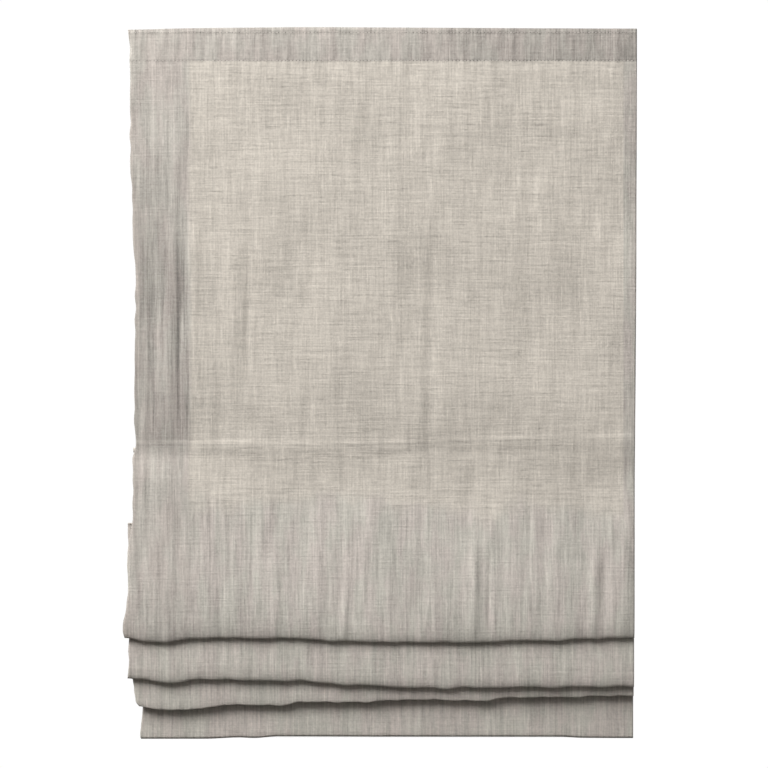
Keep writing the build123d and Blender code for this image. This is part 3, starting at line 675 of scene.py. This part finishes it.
# =============================================================== materials
class Shader:
    """A material being built: a Principled BSDF, and short calls for the nodes that feed it."""

    def __init__(self, name):
        self.material = bpy.data.materials.new(name)
        self.material.use_nodes = True
        self.tree = self.material.node_tree
        self.tree.nodes.clear()
        self.surface = self.tree.nodes.new("ShaderNodeBsdfPrincipled")
        output = self.tree.nodes.new("ShaderNodeOutputMaterial")
        self.tree.links.new(self.surface.outputs[0], output.inputs[0])
        self.place = self.node("ShaderNodeTexCoord").outputs["Object"]

    def node(self, kind, inputs=None, **settings):
        made = self.tree.nodes.new(kind)
        for key, value in settings.items():
            setattr(made, key, value)
        for key, value in (inputs or {}).items():
            self.put(made.inputs[key], value)
        return made

    def put(self, socket, value):
        if isinstance(value, bpy.types.NodeSocket):
            self.tree.links.new(value, socket)
        else:
            socket.default_value = value

    def math(self, operation, a, b=0.0):
        return self.node("ShaderNodeMath", {0: a, 1: b}, operation=operation).outputs[0]

    def plus(self, a, b):
        return self.math("ADD", a, b)

    def minus(self, a, b):
        return self.math("SUBTRACT", a, b)

    def times(self, a, b):
        return self.math("MULTIPLY", a, b)

    def distance(self, a, b):
        return self.math("ABSOLUTE", self.minus(a, b))

    def centred(self, field, size):
        """A noise field about nothing, scaled to a size."""
        return self.times(self.minus(field, 0.5), size)

    def total(self, fields, **sizes):
        """One, plus each named field centred and scaled to its size."""
        value = 1.0
        for name, size in sizes.items():
            value = self.plus(value, self.centred(fields[name], size))
        return value

    def ramp(self, value, low, high, to_low=0.0, to_high=1.0):
        inputs = {"Value": value, "From Min": low, "From Max": high, "To Min": to_low, "To Max": to_high}
        return self.node("ShaderNodeMapRange", inputs, interpolation_type="SMOOTHSTEP").outputs[0]

    def mix(self, share, a, b):
        made = self.node("ShaderNodeMix", data_type="RGBA")
        self.put(made.inputs[0], share)
        self.put(made.inputs[6], a)
        self.put(made.inputs[7], b)
        return made.outputs[2]

    def shade(self, colour, value):
        """Colour times a grey value."""
        if not isinstance(colour, bpy.types.NodeSocket):
            colour = colour[:3]
        return self.node("ShaderNodeVectorMath", {0: colour, 3: value}, operation="SCALE").outputs[0]

    def noise(self, per_mm, detail, roughness, seed):
        """Noise whose scale is given along x, y and z, in features per mm."""
        scaled = self.node("ShaderNodeMapping", {"Vector": self.place}, vector_type="POINT")
        scaled.inputs["Scale"].default_value = [s / MM for s in per_mm]
        scaled.inputs["Location"].default_value = [seed * 17.3, seed * 5.1, seed * 9.7]
        inputs = {"Vector": scaled.outputs[0], "Scale": 1.0, "Detail": detail, "Roughness": roughness}
        return self.node("ShaderNodeTexNoise", inputs).outputs[0]

    def bump(self, height, distance, strength):
        made = self.node("ShaderNodeBump", {"Height": height, "Distance": distance, "Strength": strength})
        self.put(self.surface.inputs["Normal"], made.outputs[0])

    def set(self, **values):
        for key, value in values.items():
            self.put(self.surface.inputs[key.replace("_", " ")], value)


def srgb(r, g, b):
    """A colour given as screen values, in linear light."""
    linear = [((c / 255 + 0.055) / 1.055) ** 2.4 for c in (r, g, b)]
    return (*linear, 1.0)


# Painted crease shade in the left hem, upright, in mm: place across, half width, and how much darker.
HEM_PAINTED_SHADES = [(-229, 5, 0.20), (-220, 3, 0.08), (-213, 3, -0.12), (-205, 3.5, 0.10), (-198, 3, 0.18)]
# Linen colours: single cloth, and greyer colours that are painted shade where layers lie behind the cloth
# and let less light through, darker still over the doubled hem and header; the green and pink tints vary at
# random.
SINGLE_LINEN = srgb(189, 182, 172)
SHADED_GREEN = srgb(182, 178, 169)
SHADED_PINK = srgb(183, 175, 168)
HEM_SHADED_GREEN = srgb(176, 171, 163)
HEM_SHADED_PINK = srgb(175, 167, 160)


def linen_weave(s):
    """Noise fields of the linen: uneven threads both ways, thick slubs, grain, clouds, and upright streaks
    and columns of painted crease shade.
    """
    return {
        "weft": s.noise((0.028, 0.05, 0.62), 3.0, 0.6, 1),
        "warp": s.noise((0.62, 0.05, 0.028), 3.0, 0.6, 2),
        "slub": s.noise((0.055, 0.05, 0.42), 1.0, 0.4, 3),
        "slub_up": s.noise((0.42, 0.05, 0.045), 1.0, 0.4, 4),
        "grain": s.noise((0.45, 0.3, 0.45), 2.0, 0.6, 5),
        "cloud": s.noise((0.014, 0.02, 0.018), 3.0, 0.55, 6),
        # painted shade of fine upright creases
        "streak": s.noise((0.17, 0.02, 0.007), 2.0, 0.55, 7),
        "tint": s.noise((0.045, 0.02, 0.014), 3.0, 0.6, 11),
        # painted shade of long upright creases
        "column": s.noise((0.055, 0.02, 0.004), 3.0, 0.6, 12),
    }


def single_value(s, weave):
    """Brightness of a single layer, with threads both ways and painted shade of long upright creases."""
    value = s.total(weave, weft=0.66, warp=0.60, grain=0.46, cloud=0.34, column=0.24)
    value = s.plus(value, s.ramp(weave["slub_up"], 0.60, 0.76, 0.0, 0.13))
    return s.minus(value, s.ramp(weave["slub"], 0.60, 0.76, 0.0, 0.16))


def backed_value(s, weave):
    """Brightness of linen with layers behind it, streaked upright with painted crease shade."""
    value = s.total(weave, warp=0.86, weft=0.30, grain=0.42, cloud=0.30, streak=0.50)
    return s.plus(value, s.ramp(weave["slub_up"], 0.58, 0.74, 0.0, 0.12))


def two_tints(s, weave, green, pink):
    return s.mix(s.ramp(weave["tint"], 0.38, 0.62), green, pink)


def stitch_painted_shade(s, x, z, row):
    """How much painted shade a row of stitches takes: dark needle holes, light and dark puckers, and the
    shallow dip of the row.
    """
    share = s.math("FRACT", s.math("DIVIDE", s.minus(x, LEFT + FIRST_STITCH), STITCH_PITCH))
    at_hole = s.ramp(s.distance(share, 0.5), 0.38, 0.46)
    off = s.distance(z, row)
    pulled = s.ramp(s.noise((0.035, 0.01, 0.01), 2.0, 0.6, 14), 0.38, 0.62, 0.12, 0.55)
    holes = s.times(s.times(at_hole, s.ramp(off, 0.5 * MM, 1.0 * MM, 1.0, 0.0)), pulled)
    tick = s.minus(s.noise((0.30, 0.01, 0.10), 2.0, 0.6, 13), 0.5)
    pucker = s.times(tick, s.ramp(off, 1.4 * MM, 4.5 * MM, 0.75, 0.0))
    return s.plus(s.plus(holes, pucker), s.ramp(off, 0.6 * MM, 2.4 * MM, 0.09, 0.0))


def rod_painted_light(s, x, z, patchy):
    """Painted light of the first rod's pocket: a band of painted shade under a painted shadow line and a
    pale ridge of painted highlight, higher at the right.
    """
    rise = s.ramp(x, LEFT * 0.3, RIGHT, 1 * MM, 8 * MM)
    from_rod = s.minus(s.minus(z, ROD[0].z), rise)
    band = s.times(s.ramp(from_rod, -8 * MM, -5 * MM), s.ramp(from_rod, 4 * MM, 6 * MM, 1.0, 0.0))
    ridge = s.times(s.ramp(from_rod, 5 * MM, 7 * MM), s.ramp(from_rod, 7 * MM, 10 * MM, 1.0, 0.0))
    under = s.ramp(s.distance(from_rod, 3.8 * MM), 0.3 * MM, 1.4 * MM, 0.12, 0.0)
    marks = s.minus(s.minus(s.times(ridge, 0.13), s.times(band, 0.05)), under)
    return s.times(marks, patchy)


def hem_painted_light(s, z, edge, hem, streak, patchy):
    """Painted light of the left hem: upright painted crease shade, darkest over the middle of the panel, and
    a painted highlight along its pressed line.
    """
    middle = s.times(s.ramp(z, TOP - 170 * MM, TOP - 250 * MM), s.ramp(z, TOP - 430 * MM, TOP - 390 * MM))
    strength = s.times(middle, s.ramp(streak, 0.35, 0.62, 1.3, 0.6))
    dark = s.times(s.times(hem, strength), 0.20)
    for at, half_width, darker in HEM_PAINTED_SHADES:
        shade = s.ramp(s.distance(edge, at * MM), 0.0, half_width * MM, darker, 0.0)
        dark = s.plus(dark, s.times(shade, strength))
    pressed = s.ramp(s.distance(edge, LEFT + LEFT_HEM + 1.5 * MM), 0.0, 1.6 * MM, 0.10, 0.0)
    return s.minus(s.times(pressed, patchy), dark)


def header_shade(s, x, z, header):
    """How much darker the header is: towards the right, above its first stitches, and with the painted shade
    along both rows.
    """
    dark = s.times(header, s.ramp(x, LEFT * 0.6, RIGHT, 0.0, 0.20))
    dark = s.plus(dark, s.ramp(z, STITCH_ROWS[0] + 0.8 * MM, STITCH_ROWS[0] + 1.8 * MM, 0.0, 0.20))
    for row in STITCH_ROWS:
        dark = s.plus(dark, stitch_painted_shade(s, x, z, row))
    return dark


def linen_surface(s, weave, colour, value):
    """A soft matt surface with the threads raised."""
    s.set(Base_Color=s.shade(colour, value), Roughness=0.86)
    s.set(Sheen_Weight=0.18, Sheen_Roughness=0.5, Specular_IOR_Level=0.22)
    threads = s.plus(s.plus(weave["weft"], weave["warp"]), s.times(weave["grain"], 0.7))
    s.bump(threads, 0.35 * MM, 0.8)
    return s.material


def fold_linen():
    """The linen of the folds, which always has layers behind it: painted greyer, as shade where less light
    shines through, and with painted upright crease shade.
    """
    s = Shader("linen_folds")
    weave = linen_weave(s)
    return linen_surface(s, weave, two_tints(s, weave, SHADED_GREEN, SHADED_PINK), backed_value(s, weave))


def panel_linen():
    """The linen of the upper panel: warm where it is single, with painted shade over the folds, header and
    hems where less light shines through, and painted light at the rod, hem and stitches.
    """
    s = Shader("linen_panel")
    weave = linen_weave(s)
    where = s.node("ShaderNodeSeparateXYZ", {0: s.place})
    x, z = where.outputs[0], where.outputs[2]
    low = s.plus(z, s.centred(s.noise((0.02, 0.01, 0.02), 3.0, 0.6, 8), 70 * MM))
    # Painted shade: greyer where the folds hang behind the panel, where the header and left hem are doubled,
    # and over the narrow right hem, as less light shines through there.
    behind = s.ramp(low, CREST[0] + 2 * MM, CREST[0] + 30 * MM, 1.0, 0.0)
    header = s.ramp(z, TOP - HEADER, TOP - HEADER + 1.2 * MM)
    edge = s.plus(x, s.centred(s.noise((0.05, 0.01, 0.008), 2.0, 0.5, 9), 7 * MM))
    hem = s.ramp(edge, LEFT + LEFT_HEM, LEFT + LEFT_HEM + 5 * MM, 1.0, 0.0)
    narrow = s.ramp(x, RIGHT - RIGHT_HEM - 2 * MM, RIGHT - RIGHT_HEM - 1 * MM)
    # header and left hem: the darker painted shade of doubled cloth
    hem_and_header = s.math("MAXIMUM", header, hem)
    doubled = s.math("MAXIMUM", s.math("MAXIMUM", behind, narrow), hem_and_header)
    grey = two_tints(s, weave, SHADED_GREEN, SHADED_PINK)
    colour = s.mix(doubled, SINGLE_LINEN, s.mix(hem_and_header, grey, two_tints(s, weave, HEM_SHADED_GREEN, HEM_SHADED_PINK)))
    plain_value = {0: doubled, 2: single_value(s, weave), 3: backed_value(s, weave)}
    value = s.node("ShaderNodeMix", plain_value).outputs[0]
    patchy = s.ramp(s.noise((0.03, 0.01, 0.01), 2.0, 0.5, 10), 0.35, 0.6, 0.5, 1.0)
    value = s.plus(value, rod_painted_light(s, x, z, patchy))
    value = s.plus(value, hem_painted_light(s, z, edge, hem, weave["streak"], patchy))
    value = s.minus(value, header_shade(s, x, z, header))
    # painted shade of the doubled narrow right hem
    value = s.minus(value, s.times(narrow, 0.10))
    return linen_surface(s, weave, colour, value)


def plain(name, colour, roughness, grain, depth, variation, metallic=0.0, **extra):
    """A moulded, painted or metal finish with its own fine grain."""
    s = Shader(name)
    field = s.noise(grain, 3.0, 0.55, 3)
    value = s.plus(1.0 - variation / 2, s.times(field, variation))
    s.set(Base_Color=s.shade(colour, value), Roughness=roughness, Metallic=metallic, **extra)
    s.bump(field, depth * MM, 0.6)
    return s.material


def woven(name, colour, pitch, depth):
    """A narrow woven tape or a braid: fine ribs both ways."""
    s = Shader(name)
    across = s.noise((1 / pitch, 1 / pitch, 0.12 / pitch), 1.0, 0.5, 1)
    along = s.noise((0.12 / pitch, 1 / pitch, 1 / pitch), 1.0, 0.5, 2)
    field = s.plus(across, along)
    value = s.ramp(field, 0.6, 1.4, 0.86, 1.08)
    s.set(Base_Color=s.shade(colour, value), Roughness=0.85, Sheen_Weight=0.12)
    s.bump(field, depth * MM, 0.8)
    return s.material


def paint(thing, material):
    thing.data.materials.clear()
    thing.data.materials.append(material)


linen_over_folds = fold_linen()
for piece in cloth.values():
    paint(piece, linen_over_folds)
paint(cloth["panel"], panel_linen())
paint(stitching, woven("sewing_thread", srgb(192, 186, 178), 0.35, 0.05))

finish = {
    "touch_tape": woven("touch_tape", srgb(222, 219, 211), 0.8, 0.2),
    "pocket_tape": woven("pocket_tape", srgb(184, 177, 168), 0.6, 0.12),
    "cord": woven("braided_cord", srgb(226, 222, 212), 0.5, 0.12),
    "rod": plain("glass_fibre", srgb(228, 228, 222), 0.42, (0.05, 3.0, 3.0), 0.03, 0.08),
    "ring": plain("clear_moulding", srgb(232, 232, 226), 0.22, (0.6, 0.6, 0.6), 0.01, 0.03),
    "moulding": plain("white_moulding", srgb(228, 227, 221), 0.45, (2.5, 2.5, 2.5), 0.02, 0.03),
    "lever_plastic": plain("lever_moulding", srgb(206, 206, 202), 0.4, (2.5, 2.5, 2.5), 0.02, 0.03),
    "rail_paint": plain("powder_coat", srgb(236, 235, 230), 0.48, (1.6, 1.6, 1.6), 0.03, 0.03),
    "plated_steel": plain("zinc_plate", srgb(196, 196, 192), 0.34, (0.3, 0.3, 4.0), 0.01, 0.12, 1.0),
    "shaft_metal": plain("mill_aluminium", srgb(214, 214, 214), 0.38, (0.05, 4.0, 4.0), 0.01, 0.10, 1.0),
}
for row in frame["record"]["subparts"]:
    if row["material_slot"] in finish:
        paint(frame["nodes"][row["node"]], finish[row["material_slot"]])
for thing in bpy.context.scene.objects:
    if thing.get("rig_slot") in finish and not thing.data.materials:
        paint(thing, finish[thing["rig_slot"]])

# =============================================================== stage, light and camera
FLOOR_Z = HEM - 0.88  # clear of the hem when the blind is fully lowered
VIEW_CENTRE = (1.5 * MM, PANEL_LOW.y, TOP - 356 * MM)
VIEW_WIDTH = 0.768
CAMERA_AWAY = 4.0
SENSOR_MM = 36.0
STUDIO_WHITE = (1.0, 0.995, 0.99, 1.0)


def stage_shell():
    """A far white surround that the camera sees and that casts no light of its own."""
    bpy.ops.mesh.primitive_uv_sphere_add(segments=48, ring_count=24, radius=14.0, location=(0, 0, -0.5))
    shell = bpy.context.object
    shell.name = "studio_surround"
    material = bpy.data.materials.new("studio_white")
    material.use_nodes = True
    nodes = material.node_tree.nodes
    nodes.clear()
    glow = nodes.new("ShaderNodeEmission")
    glow.inputs[0].default_value = STUDIO_WHITE
    glow.inputs[1].default_value = 1.02
    output = nodes.new("ShaderNodeOutputMaterial")
    material.node_tree.links.new(glow.outputs[0], output.inputs[0])
    shell.data.materials.append(material)
    shell.visible_diffuse = False
    shell.visible_shadow = False
    shell.visible_transmission = False
    return shell


def stage_floor():
    """A pale floor that glows enough to join the white surround."""
    bpy.ops.mesh.primitive_plane_add(size=7.0, location=(0, 0, FLOOR_Z))
    floor = bpy.context.object
    floor.name = "studio_floor"
    pale = (0.5, 0.5, 0.495, 1.0)
    glow = {"Emission_Color": STUDIO_WHITE, "Emission_Strength": 0.55}
    paint(floor, plain("pale_floor", pale, 0.8, (0.02, 0.02, 0.02), 0.01, 0.02, **glow))
    floor.visible_diffuse = False
    return floor


def area_light(name, place, size, watts):
    """A square soft light that points at the middle of the panel."""
    data = bpy.data.lights.new(name, "AREA")
    data.size = size
    data.energy = watts
    lamp = bpy.data.objects.new(name, data)
    bpy.context.scene.collection.objects.link(lamp)
    lamp.location = place
    lamp.rotation_euler = (centre("front_panel") - lamp.location).to_track_quat("-Z", "Y").to_euler()


def room_light():
    """The faint warm light of the room."""
    world = bpy.data.worlds.new("studio")
    bpy.context.scene.world = world
    world.use_nodes = True
    background = world.node_tree.nodes["Background"]
    background.inputs[0].default_value = (1.0, 0.94, 0.86, 1.0)
    background.inputs[1].default_value = 0.10


def front_camera():
    """A level camera straight in front, far enough away to see the blind nearly flat on."""
    data = bpy.data.cameras.new("camera")
    data.sensor_width = SENSOR_MM
    data.lens = SENSOR_MM * CAMERA_AWAY / VIEW_WIDTH
    camera = bpy.data.objects.new("camera", data)
    bpy.context.scene.collection.objects.link(camera)
    camera.location = (VIEW_CENTRE[0], VIEW_CENTRE[1] - CAMERA_AWAY, VIEW_CENTRE[2])
    camera.rotation_euler = (math.pi / 2, 0, 0)
    bpy.context.scene.camera = camera


stage_shell()
stage_floor()
area_light("key", (-1.7, -1.9, 2.5), 2.7, 292)
area_light("fill", (1.3, -2.6, 0.1), 1.6, 5)
area_light("back", (0.9, 2.4, 0.9), 1.8, 85)
room_light()
bpy.context.scene.view_settings.view_transform = "Standard"
front_camera()
